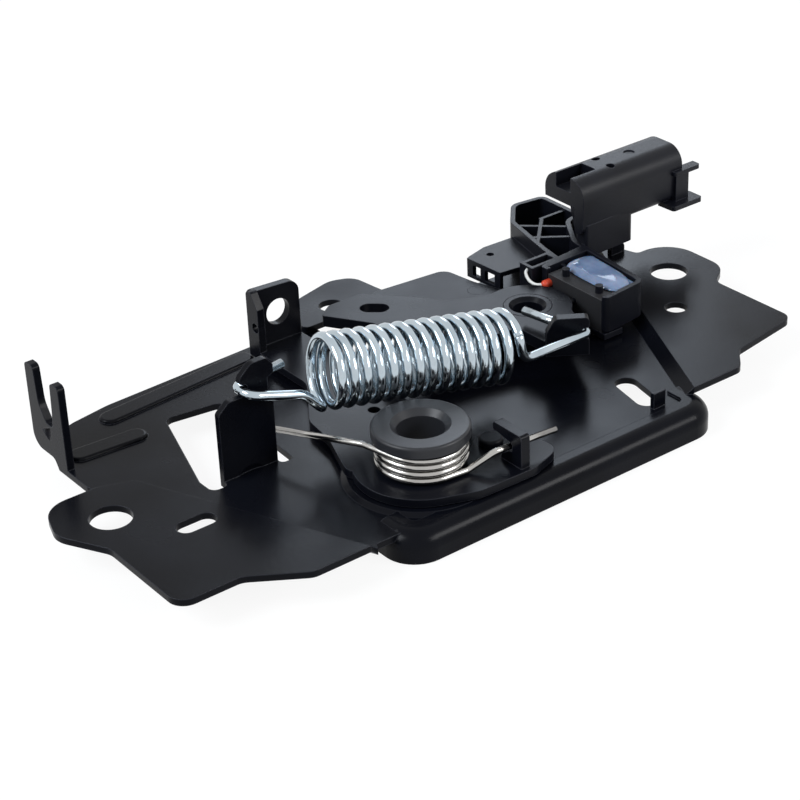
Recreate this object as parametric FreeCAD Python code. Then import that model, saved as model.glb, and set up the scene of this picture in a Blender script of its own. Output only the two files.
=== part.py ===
import FreeCAD, Part
import math
import os

# Bonnet latch. Millimetres. The origin is the centre of the left bolt hole on the base's mounting face,
# +X runs along the base towards the connector, +Y towards the edge where the striker enters, +Z up.

V = FreeCAD.Vector

# Base pressing
SHEET = 2.0
WING_TOP = SHEET
RECESS = 3.0
FLOOR_TOP = WING_TOP - RECESS
FOLD_RUN = 3.5
BOLT_R = 6.0
BOLT_SPACING_X = 211.9
BOLT_SPACING_Y = 7.9
SMALL_HOLE_R = 3.5
SLOT_LENGTH = 12.0
SLOT_WIDTH = 6.0
FRONT_Y = -60.0
FRONT_LEFT_X = 54.0
FRONT_RIGHT_X = 169.0
FLANGE_BOTTOM = -9.1
FLANGE_CORNER_R = 10.0
FLANGE_BEND_R = 5.0
LIP_RISE = 0.8
LIP_WIDTH = 8.0
BACK_Y = 60.0
LEFT_EDGE_X = 5.3
STRIKER_X = 116.0
STRIKER_SLOT_WIDTH = 17.0
STRIKER_SLOT_END_Y = 12.5
RIB_HEIGHT = 1.0
RIB_WIDTH = 7.0
PLATFORM_R = 21.0
PLATFORM_RISE = 0.9

# Cable fork and spring ear, both bent up from the base
FORK_TOP = 27.0
FORK_PRONG = 4.4
FORK_SLOT_WIDTH = 9.2
FORK_SLOT_BOTTOM = 10.5
FORK_Y0 = 32.8
FORK_Y1 = 51.0
FORK_T = 2.3
EAR_X0 = 35.5
EAR_X1 = 53.5
EAR_NECK_IN = 10.0
EAR_SHOULDER_Z = 23.0
EAR_HEAD = 6.0

# Release lever and its bush
BUSH_X = 79.6
BUSH_Y = -33.3
BUSH_TOP = 15.2
BUSH_BORE_R = 6.8
BUSH_SPIGOT_WALL = 3.2
BUSH_FLANGE_OVERHANG = 2.7
BUSH_FLANGE_T = 3.2
PIVOT_CLEARANCE = 0.05
LAYER_GAP = 0.3
LEVER_T = 2.5
LEVER_DISC_R = 19.4
LEVER_LEFT_X = BUSH_X + 1.9
LEVER_RIGHT_X = BUSH_X + 19.4
NIPPLE_BRACKET_TOP = 22.0
NIPPLE_HOLE_R = 4.2
HOOK_TAB_TOP = 12.8
HOOK_TAB_X = BUSH_X + 18.1
HOOK_TAB_T = 3.0
HOOK_TAB_BACK_Y = BUSH_Y - 8.9

# Claw, guide plate and safety catch
CLAW_X = 153.2
CLAW_Y = 8.2
CLAW_T = 3.7
CLAW_HEAD_R = 13.5
CLAW_RIVET_R = 6.0
CLAW_RIVET_BORE_R = 4.6
THROAT_Y = 19.0
THROAT_R = 6.0
GUIDE_Z = 3.5
GUIDE_T = 2.0
WASHER_T = 0.6
CATCH_X = 140.0
CATCH_Y = 24.0
CATCH_PIN_R = 4.0
CATCH_T = 2.0
CATCH_Z = FLOOR_TOP + 0.5
GUIDE_RIVET_X = 153.5
GUIDE_RIVET_Y = 33.0
RIVET_HEAD_T = 2.0

# Springs
MAIN_WIRE_R = 1.4
MAIN_COIL_R = 9.75
MAIN_TURNS = 15.75
TORSION_WIRE_R = 0.95
TORSION_GAP = 0.2
TORSION_BORE_GAP = 0.25
TORSION_TURNS = 3.19
TORSION_LEG_Z = 7.7
TORSION_LEG_Y = BUSH_Y - 15.8
SPRING_GAP = 0.2

# Switch housing and connector
HOUSING_BOTTOM = 2.3
HOUSING_TOP = 14.0
HOUSING_WALL = 1.6
RIB_WALL = 1.2
CONNECTOR_X0 = 187.0
CONNECTOR_X1 = 229.3
CONNECTOR_Y0 = 20.5
CONNECTOR_Y1 = 38.8
CONNECTOR_Z0 = 17.5
CONNECTOR_TOP = 35.5
GUIDE_FLANGE_REACH = 6.7
GUIDE_FLANGE_T = 1.4
SOCKET_DEPTH = 20.0
SOCKET_WALL = 1.8
NECK_BOTTOM = 9.5
ARM_TOP = 9.4
SWITCH_X0 = 168.4
SWITCH_X1 = 175.0
SWITCH_Z = 1.6
SWITCH_TOP = 12.6
SWITCH_PIN_R = 1.2
SWITCH_PINS = [(171.6, 11.6), (171.6, -3.6)]
PLUNGER_R = 0.9
PLUNGER_Y = 4.2
PLUNGER_Z = 7.9
PLUNGER_TIP_X = 166.95
PLUNGER_DEEP = 2.6
PLUNGER_TRAVEL = 1.0
TERMINAL_Y = 29.8
TERMINAL_PITCH = 6.0
TERMINAL_Z = 26.0
STAKE_R = 1.8
STAKES = [(178.5, -2.0), (178.5, 15.0), (184.0, 36.0)]

# Levels that follow from the sizes above
FLOOR_BOTTOM = FLOOR_TOP - SHEET
PLATFORM_TOP = FLOOR_TOP + PLATFORM_RISE
LEVER_Z = PLATFORM_TOP + LAYER_GAP
LEVER_TOP = LEVER_Z + LEVER_T
GUIDE_TOP = GUIDE_Z + GUIDE_T
CLAW_Z = GUIDE_TOP + WASHER_T + 0.2
CLAW_TOP = CLAW_Z + CLAW_T
CATCH_TOP = CATCH_Z + CATCH_T
BUSH_SHANK_R = BUSH_BORE_R + BUSH_SPIGOT_WALL + 1.2
BUSH_SPIGOT_R = BUSH_BORE_R + BUSH_SPIGOT_WALL
BUSH_FLANGE_R = BUSH_SHANK_R + BUSH_FLANGE_OVERHANG
TORSION_COIL_R = BUSH_SHANK_R + TORSION_BORE_GAP + TORSION_WIRE_R
EAR_NECK_TOP = EAR_SHOULDER_Z + 2 * (MAIN_WIRE_R + SPRING_GAP)
EAR_TOP = EAR_NECK_TOP + EAR_HEAD
HOOK_LEVEL = (EAR_SHOULDER_Z + EAR_NECK_TOP) / 2


def rounded_face(points, z):
    """Flat face at height z whose corners (x, y, radius) are rounded by tangent arcs."""
    edges = []
    starts = []
    ends = []
    count = len(points)
    for i in range(count):
        here = V(points[i][0], points[i][1], z)
        before = V(points[i - 1][0], points[i - 1][1], z)
        after = V(points[(i + 1) % count][0], points[(i + 1) % count][1], z)
        radius = points[i][2]
        to_before = (before - here).normalize()
        to_after = (after - here).normalize()
        half = to_before.getAngle(to_after) / 2
        if radius == 0 or half > math.pi / 2 - 1e-4:
            starts.append(here)
            ends.append(here)
            continue
        cut = radius / math.tan(half)
        start = here + to_before * cut
        end = here + to_after * cut
        middle_way = (to_before + to_after).normalize()
        middle = here + middle_way * (radius / math.sin(half) - radius)
        edges.append((i, Part.Arc(start, middle, end).toShape()))
        starts.append(start)
        ends.append(end)
    arcs = dict(edges)
    outline = []
    for i in range(count):
        if i in arcs:
            outline.append(arcs[i])
        following = starts[(i + 1) % count]
        if ends[i].distanceToPoint(following) > 1e-4:
            outline.append(Part.makeLine(ends[i], following))
    return Part.Face(Part.Wire(outline))


def plate(points, z0, z1):
    """Flat plate between two heights with a rounded outline."""
    return rounded_face(points, z0).extrude(V(0, 0, z1 - z0))


def disc(x, y, radius, z0, z1):
    """Upright cylinder between two heights."""
    return Part.makeCylinder(radius, z1 - z0, V(x, y, z0))


def cone(x, y, radius0, radius1, z0, z1):
    """Upright cone frustum between two heights."""
    return Part.makeCone(radius0, radius1, z1 - z0, V(x, y, z0))


def box(x0, x1, y0, y1, z0, z1):
    """Box between two corners."""
    return Part.makeBox(x1 - x0, y1 - y0, z1 - z0, V(x0, y0, z0))


def slot(start, end, width, z0, z1):
    """Slot with round ends between two centres."""
    a = V(start[0], start[1], 0)
    b = V(end[0], end[1], 0)
    along = (b - a).normalize()
    side = V(-along.y, along.x, 0) * (width / 2)
    tip_a = a - along * (width / 2)
    tip_b = b + along * (width / 2)
    lift = V(0, 0, z0)
    edges = [
        Part.makeLine(a + side + lift, b + side + lift),
        Part.Arc(b + side + lift, tip_b + lift, b - side + lift).toShape(),
        Part.makeLine(b - side + lift, a - side + lift),
        Part.Arc(a - side + lift, tip_a + lift, a + side + lift).toShape(),
    ]
    return Part.Face(Part.Wire(edges)).extrude(V(0, 0, z1 - z0))


def upright(points, start, along, thickness):
    """Upright plate: its outline (distance along, height, radius) stands on the line from start."""
    face = rounded_face(points, 0)
    solid = face.extrude(V(0, 0, thickness))
    solid.rotate(V(0, 0, 0), V(1, 0, 0), 90)
    angle = math.degrees(math.atan2(along[1], along[0]))
    solid.rotate(V(0, 0, 0), V(0, 0, 1), angle)
    solid.translate(V(start[0], start[1], 0))
    return solid


def wire_solid(points, radii, wire_r):
    """Round wire through 3-D points, with tangent arcs of the given radii at the inner points."""
    edges = []
    last = points[0]
    for i in range(1, len(points) - 1):
        to_before = (points[i - 1] - points[i]).normalize()
        to_after = (points[i + 1] - points[i]).normalize()
        half = to_before.getAngle(to_after) / 2
        cut = radii[i - 1] / math.tan(half)
        start = points[i] + to_before * cut
        end = points[i] + to_after * cut
        middle_way = (to_before + to_after).normalize()
        middle = points[i] + middle_way * (radii[i - 1] / math.sin(half) - radii[i - 1])
        edges.append(Part.makeLine(last, start))
        edges.append(Part.Arc(start, middle, end).toShape())
        last = end
    edges.append(Part.makeLine(last, points[-1]))
    path = Part.Wire(edges)
    section = Part.Wire(Part.makeCircle(wire_r, points[0], points[1] - points[0]))
    return path.makePipeShell([section], True, False)


def fused(shapes):
    """One solid from shapes that touch or overlap."""
    whole = shapes[0].fuse(shapes[1:])
    return whole.removeSplitter()


def meet(p, along_p, q, along_q):
    """Crossing point of two lines in the plane."""
    cross = along_p[0] * along_q[1] - along_p[1] * along_q[0]
    t = ((q[0] - p[0]) * along_q[1] - (q[1] - p[1]) * along_q[0]) / cross
    return (p[0] + along_p[0] * t, p[1] + along_p[1] * t)


def shifted(p, q, distance):
    """Both ends of line pq moved sideways to its right."""
    length = math.hypot(q[0] - p[0], q[1] - p[1])
    nx = (q[1] - p[1]) / length * distance
    ny = -(q[0] - p[0]) / length * distance
    return (p[0] + nx, p[1] + ny), (q[0] + nx, q[1] + ny)


# Crease lines where the wings fold down to the floor
LEFT_CREASE = [(44.6, -56.5), (15.0, 12.1), (4.9, 15.9)]
RIGHT_CREASE = [(165.6, -51.5), (206.4, 34.5)]
LEFT_FOOT_A, LEFT_FOOT_B1 = shifted(LEFT_CREASE[0], LEFT_CREASE[1], FOLD_RUN)
LEFT_FOOT_B2, LEFT_FOOT_C = shifted(LEFT_CREASE[1], LEFT_CREASE[2], FOLD_RUN)
LEFT_FOOT_B = meet(
    LEFT_FOOT_A,
    (LEFT_FOOT_B1[0] - LEFT_FOOT_A[0], LEFT_FOOT_B1[1] - LEFT_FOOT_A[1]),
    LEFT_FOOT_C,
    (LEFT_FOOT_B2[0] - LEFT_FOOT_C[0], LEFT_FOOT_B2[1] - LEFT_FOOT_C[1]),
)
RIGHT_FOOT = shifted(RIGHT_CREASE[0], RIGHT_CREASE[1], -FOLD_RUN)


def slope(crease_a, crease_b, foot_b, foot_a):
    """Sloping band of sheet from a crease at wing level to the floor."""
    corners = [
        V(crease_a[0], crease_a[1], WING_TOP),
        V(crease_b[0], crease_b[1], WING_TOP),
        V(foot_b[0], foot_b[1], FLOOR_TOP),
        V(foot_a[0], foot_a[1], FLOOR_TOP),
        V(crease_a[0], crease_a[1], WING_TOP),
    ]
    return Part.Face(Part.makePolygon(corners)).extrude(V(0, 0, -SHEET))


def left_wing():
    crease = [(p[0], p[1], 0) for p in LEFT_CREASE]
    rim = [(-11.5, 15.9, 9), (-16.0, 2.0, 8), (-8.0, -13.0, 6), (-8.0, -46.2, 5)]
    front = [(11.0, -46.2, 5), (26.5, -56.5, 5)]
    return plate(rim + front + crease, 0, SHEET)


def right_wing():
    front = [(184.5, -51.5, 4), (191.5, -43.8, 3), (218.3, -39.6, 4), (218.0, -7.0, 5)]
    end = [(227.3, -1.0, 9), (227.3, 24.2, 11), (213.5, 24.2, 2), (211.5, 31.5, 3)]
    crease = [(RIGHT_CREASE[1][0], RIGHT_CREASE[1][1], 0), (RIGHT_CREASE[0][0], RIGHT_CREASE[0][1], 0)]
    return plate(front + end + crease, 0, SHEET)


def floor_sheet():
    left = [(LEFT_FOOT_A[0], LEFT_FOOT_A[1], 0), (LEFT_FOOT_B[0], LEFT_FOOT_B[1], 0)]
    corner = [(LEFT_FOOT_C[0], LEFT_FOOT_C[1], 0), (LEFT_EDGE_X, LEFT_FOOT_C[1] + 3, 0)]
    back_left = [(LEFT_EDGE_X, FORK_Y0 + 5, 1), (LEFT_EDGE_X + FORK_T + 0.6, FORK_Y0 + 6, 0.4), (LEFT_EDGE_X + FORK_T + 0.6, FORK_Y1, 2), (20.0, 55.6, 8), (33.0, 57.8, 20), (90.0, BACK_Y, 0)]
    back_right = [(146.0, BACK_Y, 6), (160.0, 47.0, 6), (188.0, 46.0, 5), (201.0, 40.0, 3)]
    right = [(RIGHT_FOOT[1][0], RIGHT_FOOT[1][1], 0), (RIGHT_FOOT[0][0], RIGHT_FOOT[0][1], 0)]
    front_y = FRONT_Y + LIP_WIDTH - 1
    front = [(RIGHT_FOOT[0][0] - 1, front_y, 0), (LEFT_FOOT_A[0] + 1, front_y, 0)]
    return plate(left + corner + back_left + back_right + right + front, FLOOR_BOTTOM, FLOOR_TOP)


def flange_profile():
    """Section of the rolled front flange: distance inwards from the outer face, height."""
    top = FLOOR_TOP + LIP_RISE
    outer = FLANGE_BEND_R
    inner = FLANGE_BEND_R - SHEET
    k = math.sqrt(0.5)
    bend_z = top - outer
    edges = [
        Part.makeLine(V(LIP_WIDTH, 0, top), V(outer, 0, top)),
        Part.Arc(V(outer, 0, top), V(outer - outer * k, 0, bend_z + outer * k), V(0, 0, bend_z)).toShape(),
        Part.makeLine(V(0, 0, bend_z), V(0, 0, FLANGE_BOTTOM)),
        Part.makeLine(V(0, 0, FLANGE_BOTTOM), V(SHEET, 0, FLANGE_BOTTOM)),
        Part.makeLine(V(SHEET, 0, FLANGE_BOTTOM), V(SHEET, 0, bend_z)),
        Part.Arc(
            V(SHEET, 0, bend_z), V(outer - inner * k, 0, bend_z + inner * k), V(outer, 0, top - SHEET)
        ).toShape(),
        Part.makeLine(V(outer, 0, top - SHEET), V(LIP_WIDTH, 0, top - SHEET)),
        Part.makeLine(V(LIP_WIDTH, 0, top - SHEET), V(LIP_WIDTH, 0, top)),
    ]
    return Part.Face(Part.Wire(edges))


def front_flange():
    """Rolled flange: left return, corner, front run, corner, right return."""
    run = FRONT_RIGHT_X - FRONT_LEFT_X - 2 * FLANGE_CORNER_R
    return_length = 5.0
    corner_y = FRONT_Y + FLANGE_CORNER_R
    left_x = FRONT_LEFT_X + FLANGE_CORNER_R
    right_x = FRONT_RIGHT_X - FLANGE_CORNER_R
    section_left = flange_profile()
    section_left.translate(V(FRONT_LEFT_X, corner_y, 0))
    left_return = section_left.extrude(V(0, return_length, 0))
    left_corner = section_left.revolve(V(left_x, corner_y, 0), V(0, 0, 1), 90)
    section_front = section_left.copy()
    section_front.rotate(V(left_x, corner_y, 0), V(0, 0, 1), 90)
    front_run = section_front.extrude(V(run, 0, 0))
    section_end = section_front.copy()
    section_end.translate(V(run, 0, 0))
    right_corner = section_end.revolve(V(right_x, corner_y, 0), V(0, 0, 1), 90)
    section_right = section_end.copy()
    section_right.rotate(V(right_x, corner_y, 0), V(0, 0, 1), 90)
    right_return = section_right.extrude(V(0, return_length, 0))
    return [left_return, left_corner, front_run, right_corner, right_return]


def fork():
    """Cable fork bent up from the left edge, with a slot that narrows downwards."""
    mouth_0 = FORK_Y0 + FORK_PRONG
    mouth_1 = mouth_0 + FORK_SLOT_WIDTH
    outline = [
        (FORK_Y0, FLOOR_BOTTOM, 0),
        (FORK_Y0, FORK_TOP - 1.4, 1.5),
        (mouth_0, FORK_TOP - 1.4, 1.5),
        (mouth_0 + 0.6, FORK_SLOT_BOTTOM + 6, 8),
        (mouth_0 + 1.2, FORK_SLOT_BOTTOM, 1.6),
        (mouth_0 + 5.0, FORK_SLOT_BOTTOM, 1.6),
        (mouth_1 - 0.8, FORK_SLOT_BOTTOM + 5, 6),
        (mouth_1, FORK_TOP, 1.5),
        (FORK_Y1, FORK_TOP, 1.5),
        (FORK_Y1, 0.2, 4.5),
        (FORK_Y0 + 7, 0.2, 2.5),
        (FORK_Y0 + 5, FLOOR_BOTTOM, 0),
    ]
    sheet = upright(outline, (LEFT_EDGE_X, 0), (0, 1), FORK_T)
    groove = Part.makeCone(0.2, 3.6, 9.0, V(LEFT_EDGE_X - 2.2, FORK_Y0 + 6.0, 0.5), V(0, 0.42, 0.9))
    return sheet.cut(groove)


def spring_ear():
    """Tall plate lanced from the window, with a necked head for the main spring's hook."""
    neck_x0 = EAR_X0 + EAR_NECK_IN
    head_x0 = neck_x0 - 2.5
    head_x1 = EAR_X1 + 0.6
    outline = [
        (EAR_X0, FLOOR_BOTTOM, 0),
        (EAR_X1, FLOOR_BOTTOM, 0),
        (EAR_X1, EAR_SHOULDER_Z - 3, 1),
        (EAR_X1 - 1.4, EAR_SHOULDER_Z - 2.2, 0.8),
        (EAR_X1 - 1.4, EAR_NECK_TOP, 0.6),
        (head_x1, EAR_NECK_TOP + 0.8, 0.8),
        (head_x1, EAR_TOP - 2.5, 1.2),
        (head_x1 - 2, EAR_TOP, 1.6),
        (head_x0 + 4, EAR_TOP, 3),
        (head_x0, EAR_TOP - 3.5, 2),
        (head_x0, EAR_NECK_TOP + 0.8, 0.8),
        (neck_x0, EAR_NECK_TOP, 0.8),
        (neck_x0, EAR_SHOULDER_Z, 1.2),
        (EAR_X0 + 3.5, EAR_SHOULDER_Z, 1.5),
        (EAR_X0, EAR_SHOULDER_Z - 3, 1.5),
    ]
    ear = upright(outline, (0, SHEET / 2), (1, 0), SHEET)
    mid = (EAR_X0 + EAR_X1) / 2
    dome = Part.makeSphere(14.0, V(mid, -SHEET / 2 - 13.0, FLOOR_TOP - 3.0))
    return ear.cut(dome)


def rib(start, end, base_z):
    """Low rounded bead on the sheet."""
    outer = slot(start, end, RIB_WIDTH, base_z, base_z + RIB_HEIGHT)
    top_edges = [e for e in outer.Edges if min(v.Z for v in e.Vertexes) > base_z + RIB_HEIGHT - 0.01]
    return outer.makeFillet(RIB_HEIGHT * 0.95, top_edges)


def platform():
    """Raised round seat under the release lever, trimmed behind the flange bend."""
    shoulder = cone(BUSH_X, BUSH_Y, PLATFORM_R + 2.5, PLATFORM_R, FLOOR_TOP - 0.5, PLATFORM_TOP)
    keep = box(0, 200, FRONT_Y + FLANGE_BEND_R, 100, FLOOR_TOP - 1, PLATFORM_TOP + 1)
    return shoulder.common(keep)


def base_plate():
    sheet = [
        left_wing(),
        right_wing(),
        floor_sheet(),
        slope(LEFT_CREASE[0], LEFT_CREASE[1], LEFT_FOOT_B, LEFT_FOOT_A),
        slope(LEFT_CREASE[1], LEFT_CREASE[2], LEFT_FOOT_C, LEFT_FOOT_B),
        slope(RIGHT_CREASE[0], RIGHT_CREASE[1], RIGHT_FOOT[1], RIGHT_FOOT[0]),
        platform(),
        rib((30.0, 50.5), (79.0, 54.5), FLOOR_TOP - 0.01),
        rib((12.5, 38.0), (30.0, 36.8), FLOOR_TOP - 0.01),
    ]
    shape = fused(sheet + front_flange())
    low = FLOOR_BOTTOM - 1
    high = WING_TOP + 1
    window = [(41.7, 39.6, 3), (30.3, 3.5, 2.5), (30.3, -3.0, 2.4), (EAR_X0, -3.0, 1.5),
              (EAR_X0, SHEET / 2, 0), (EAR_X1, SHEET / 2, 0), (EAR_X1, -3.0, 1.5),
              (57.5, -3.0, 1.5), (59.8, 37.0, 3)]
    slot_half = STRIKER_SLOT_WIDTH / 2
    striker_end = STRIKER_SLOT_END_Y + slot_half
    cuts = [
        disc(0, 0, BOLT_R, low, high),
        disc(BOLT_SPACING_X, BOLT_SPACING_Y, BOLT_R, low, high),
        disc(196.4, -11.6, SMALL_HOLE_R, low, high),
        slot((13.0, -17.3), (19.0, -17.3), SLOT_WIDTH, low, high),
        plate(window, low, high),
        slot((STRIKER_X, striker_end), (STRIKER_X, BACK_Y + 20), STRIKER_SLOT_WIDTH, low, high),
        slot((156.0, -33.0), (153.8, -44.0), 7.0, low, high),
        disc(BUSH_X, BUSH_Y, BUSH_SPIGOT_R, low, high),
        disc(CLAW_X, CLAW_Y, CLAW_RIVET_R, low, high),
        disc(CATCH_X, CATCH_Y, CATCH_PIN_R, low, high),
        disc(GUIDE_RIVET_X, GUIDE_RIVET_Y, 3.0, low, high),
    ]
    cuts += [disc(x, y, STAKE_R, low, high) for x, y in STAKES]
    for cut in cuts:
        shape = shape.cut(cut)
    floor_tab = box(151.5, 156.0, -49.5, -48.0, FLOOR_BOTTOM, 4.0)
    stop_outline = [(0, 0, 0), (5.6, 0, 0), (5.6, 5.6, 2), (0, 5.6, 2)]
    stop_tab = upright(stop_outline, (206.0, 30.4), (1, 0), SHEET)
    return fused([shape, fork(), spring_ear(), floor_tab, stop_tab])


def pivot_bush():
    """Flanged hollow bush: spigot in the base, shank for the lever and coil, flange on top."""
    body = disc(BUSH_X, BUSH_Y, BUSH_SHANK_R, PLATFORM_TOP, BUSH_TOP - BUSH_FLANGE_T)
    spigot = disc(BUSH_X, BUSH_Y, BUSH_SPIGOT_R, FLOOR_BOTTOM, PLATFORM_TOP)
    flange = disc(BUSH_X, BUSH_Y, BUSH_FLANGE_R, BUSH_TOP - BUSH_FLANGE_T, BUSH_TOP)
    whole = fused([body, spigot, flange])
    rims = [e for e in whole.Edges if abs(e.BoundBox.ZMin - BUSH_TOP) < 0.01]
    whole = whole.makeFillet(0.8, rims)
    bore = disc(BUSH_X, BUSH_Y, BUSH_BORE_R, FLOOR_BOTTOM - 1, BUSH_TOP + 1)
    lead_in = cone(BUSH_X, BUSH_Y, BUSH_BORE_R, BUSH_BORE_R + 1.7, BUSH_TOP - 1.7, BUSH_TOP + 0.01)
    return whole.cut(bore).cut(lead_in)


def nipple_bracket():
    """Upright corner bracket that takes the cable's barrel nipple."""
    front_y = 51.5
    face = [
        (LEVER_LEFT_X, LEVER_Z, 0),
        (LEVER_RIGHT_X, LEVER_Z, 0),
        (LEVER_RIGHT_X, NIPPLE_BRACKET_TOP - 1, 4),
        (LEVER_LEFT_X, NIPPLE_BRACKET_TOP, 1.5),
    ]
    back = upright(face, (0, front_y + LEVER_T), (1, 0), LEVER_T)
    side_outline = [
        (48.3, LEVER_Z, 0),
        (front_y + LEVER_T, LEVER_Z, 0),
        (front_y + LEVER_T, NIPPLE_BRACKET_TOP, 1.5),
        (front_y, NIPPLE_BRACKET_TOP, 1),
        (48.3, NIPPLE_BRACKET_TOP - 5.0, 1),
    ]
    side = upright(side_outline, (LEVER_LEFT_X, 0), (0, 1), LEVER_T)
    hole = Part.makeCylinder(NIPPLE_HOLE_R, 20, V(BUSH_X + 11.4, 45, 12.6), V(0, 1, 0))
    cable_way = Part.makeCylinder(1.6, 20, V(LEVER_LEFT_X - 5, 50.0, 10.6), V(1, 0, 0))
    return back.cut(hole), side.cut(cable_way)


def hooked_tab():
    """Upright tab on the lever whose notch takes the return spring's leg."""
    notch_in = HOOK_TAB_BACK_Y - TORSION_LEG_Y + TORSION_WIRE_R + 0.35
    half = TORSION_WIRE_R + 0.35
    front = notch_in + 3.9
    outline = [
        (0, HOOK_TAB_TOP, 0.8),
        (front, HOOK_TAB_TOP, 1.0),
        (front, LEVER_Z, 0),
        (3.0, LEVER_Z, 0),
        (3.6, LEVER_TOP + 1.6, 1.5),
        (notch_in - 1, TORSION_LEG_Z - half, 0.4),
        (notch_in, TORSION_LEG_Z - half, 0.8),
        (notch_in, TORSION_LEG_Z + half, 0.8),
        (2.0, TORSION_LEG_Z + half + 1.2, 1),
        (0, TORSION_LEG_Z + half + 1.4, 0.5),
    ]
    return upright(outline, (HOOK_TAB_X + HOOK_TAB_T, HOOK_TAB_BACK_Y), (0, -1), HOOK_TAB_T)


def release_lever():
    arm = [
        (LEVER_LEFT_X, 54.0, 1),
        (LEVER_LEFT_X, 24.0, 9),
        (BUSH_X - 10.4, 5.5, 8),
        (BUSH_X - 12.0, -6.0, 12),
        (BUSH_X - 19.1, BUSH_Y + 8.3, 5),
        (BUSH_X, BUSH_Y, 0),
        (LEVER_RIGHT_X, BUSH_Y + 13.3, 5),
        (LEVER_RIGHT_X - 2.0, 6.0, 6),
        (LEVER_RIGHT_X + 0.7, 12.0, 2),
        (LEVER_RIGHT_X + 0.7, 21.0, 2),
        (LEVER_RIGHT_X, 25.0, 3),
        (LEVER_RIGHT_X, 54.0, 1),
    ]
    lobe = [
        (BUSH_X - 6.0, BUSH_Y - 18.4, 0),
        (BUSH_X + 2.9, BUSH_Y - 22.0, 8),
        (BUSH_X + 22.0, BUSH_Y - 22.6, 6),
        (BUSH_X + 33.8, BUSH_Y - 18.8, 5),
        (BUSH_X + 31.0, BUSH_Y - 6.5, 7),
        (BUSH_X + 14.0, BUSH_Y + 5.0, 0),
    ]
    flat = fused([
        disc(BUSH_X, BUSH_Y, LEVER_DISC_R, LEVER_Z, LEVER_TOP),
        plate(arm, LEVER_Z, LEVER_TOP),
        plate(lobe, LEVER_Z, LEVER_TOP),
    ])
    flat = flat.cut(disc(BUSH_X, BUSH_Y, BUSH_SHANK_R + PIVOT_CLEARANCE, LEVER_Z - 1, LEVER_TOP + 1))
    flat = flat.cut(disc(BUSH_X + 7.4, -1.5, 1.8, LEVER_Z - 1, LEVER_TOP + 1))
    tooth = box(LEVER_RIGHT_X - 1.3, LEVER_RIGHT_X + 0.7, 14.2, 20.0, LEVER_Z, CLAW_TOP)
    back, side = nipple_bracket()
    return fused([flat, tooth, hooked_tab(), back, side])


def lever_rivet():
    """Round stud riveted on the lever beside the hooked tab."""
    stud = disc(BUSH_X + 20.4, BUSH_Y - 5.1, 3.5, LEVER_TOP, LEVER_TOP + 2.6)
    rim = [e for e in stud.Edges if abs(e.BoundBox.ZMin - LEVER_TOP - 2.6) < 0.01]
    return stud.makeFillet(0.8, rim)


def claw():
    """Claw plate with hook arm, throat and jaw, and an upright spring ear."""
    outline = [
        (102.0, 44.6, 1.2),
        (107.5, 48.4, 3),
        (119.5, 48.4, 5),
        (129.5, 37.0, 14),
        (137.0, 26.8, 12),
        (150.0, 20.5, 0),
        (CLAW_X, CLAW_Y, 0),
        (150.0, -4.0, 0),
        (138.0, -0.5, 8),
        (120.0, 2.5, 8),
        (98.9, 2.8, 2),
        (98.5, 10.8, 1.2),
        (106.5, 11.2, 2),
        (110.5, THROAT_Y - THROAT_R, 1),
        (STRIKER_X + 1 + THROAT_R, THROAT_Y - THROAT_R, THROAT_R - 0.01),
        (STRIKER_X + 1 + THROAT_R, THROAT_Y + THROAT_R, THROAT_R - 0.01),
        (108.8, THROAT_Y + THROAT_R + 0.2, 1.2),
        (111.4, 29.4, 2),
    ]
    ear_root = [(141.5, 0.0, 0), (141.8, -13.0, 2), (153.0, -20.6, 2), (162.0, -1.0, 0)]
    flat = fused([
        disc(CLAW_X, CLAW_Y, CLAW_HEAD_R, CLAW_Z, CLAW_TOP),
        plate(outline, CLAW_Z, CLAW_TOP),
        plate(ear_root, CLAW_Z, CLAW_TOP),
    ])
    flat = flat.cut(disc(CLAW_X, CLAW_Y, CLAW_RIVET_R + PIVOT_CLEARANCE, CLAW_Z - 1, CLAW_TOP + 1))
    sink_r = CLAW_RIVET_R + PIVOT_CLEARANCE
    flat = flat.cut(cone(CLAW_X, CLAW_Y, sink_r, sink_r + 1.5, CLAW_TOP - 1.5, CLAW_TOP + 0.001))
    flat = flat.cut(slot((115.9, 38.9), (118.3, 36.7), 5.8, CLAW_Z - 1, CLAW_TOP + 1))
    along = (10.5, -7.2)
    reach = math.hypot(along[0], along[1])
    ear_outline = [
        (0, CLAW_Z, 0),
        (reach, CLAW_Z, 0),
        (reach, 11.6, 0.8),
        (reach - 2.4, 12.2, 0.8),
        (reach - 2.4, 14.8, 0.8),
        (reach, 15.4, 0.8),
        (reach, 18.6, 1.4),
        (2.5, 18.6, 2),
        (0, 14.0, 2),
    ]
    ear = upright(ear_outline, (142.0, -12.9), along, 3.0)
    return fused([flat, ear])


def claw_rivet():
    """Hollow rivet with a flush countersunk head above and a flat head under the floor."""
    shank = disc(CLAW_X, CLAW_Y, CLAW_RIVET_R, FLOOR_BOTTOM, CLAW_TOP)
    head_z = CLAW_TOP - 1.4
    head = cone(CLAW_X, CLAW_Y, CLAW_RIVET_R, CLAW_RIVET_R + 1.4, head_z, CLAW_TOP)
    foot = disc(CLAW_X, CLAW_Y, CLAW_RIVET_R + 3.0, FLOOR_BOTTOM - RIVET_HEAD_T, FLOOR_BOTTOM)
    whole = fused([shank, head, foot])
    bore = disc(CLAW_X, CLAW_Y, CLAW_RIVET_BORE_R, FLOOR_TOP, CLAW_TOP + 1)
    mouth = cone(CLAW_X, CLAW_Y, CLAW_RIVET_BORE_R, CLAW_RIVET_BORE_R + 1.2, CLAW_TOP - 1.2, CLAW_TOP + 0.001)
    return whole.cut(bore).cut(mouth)


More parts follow.
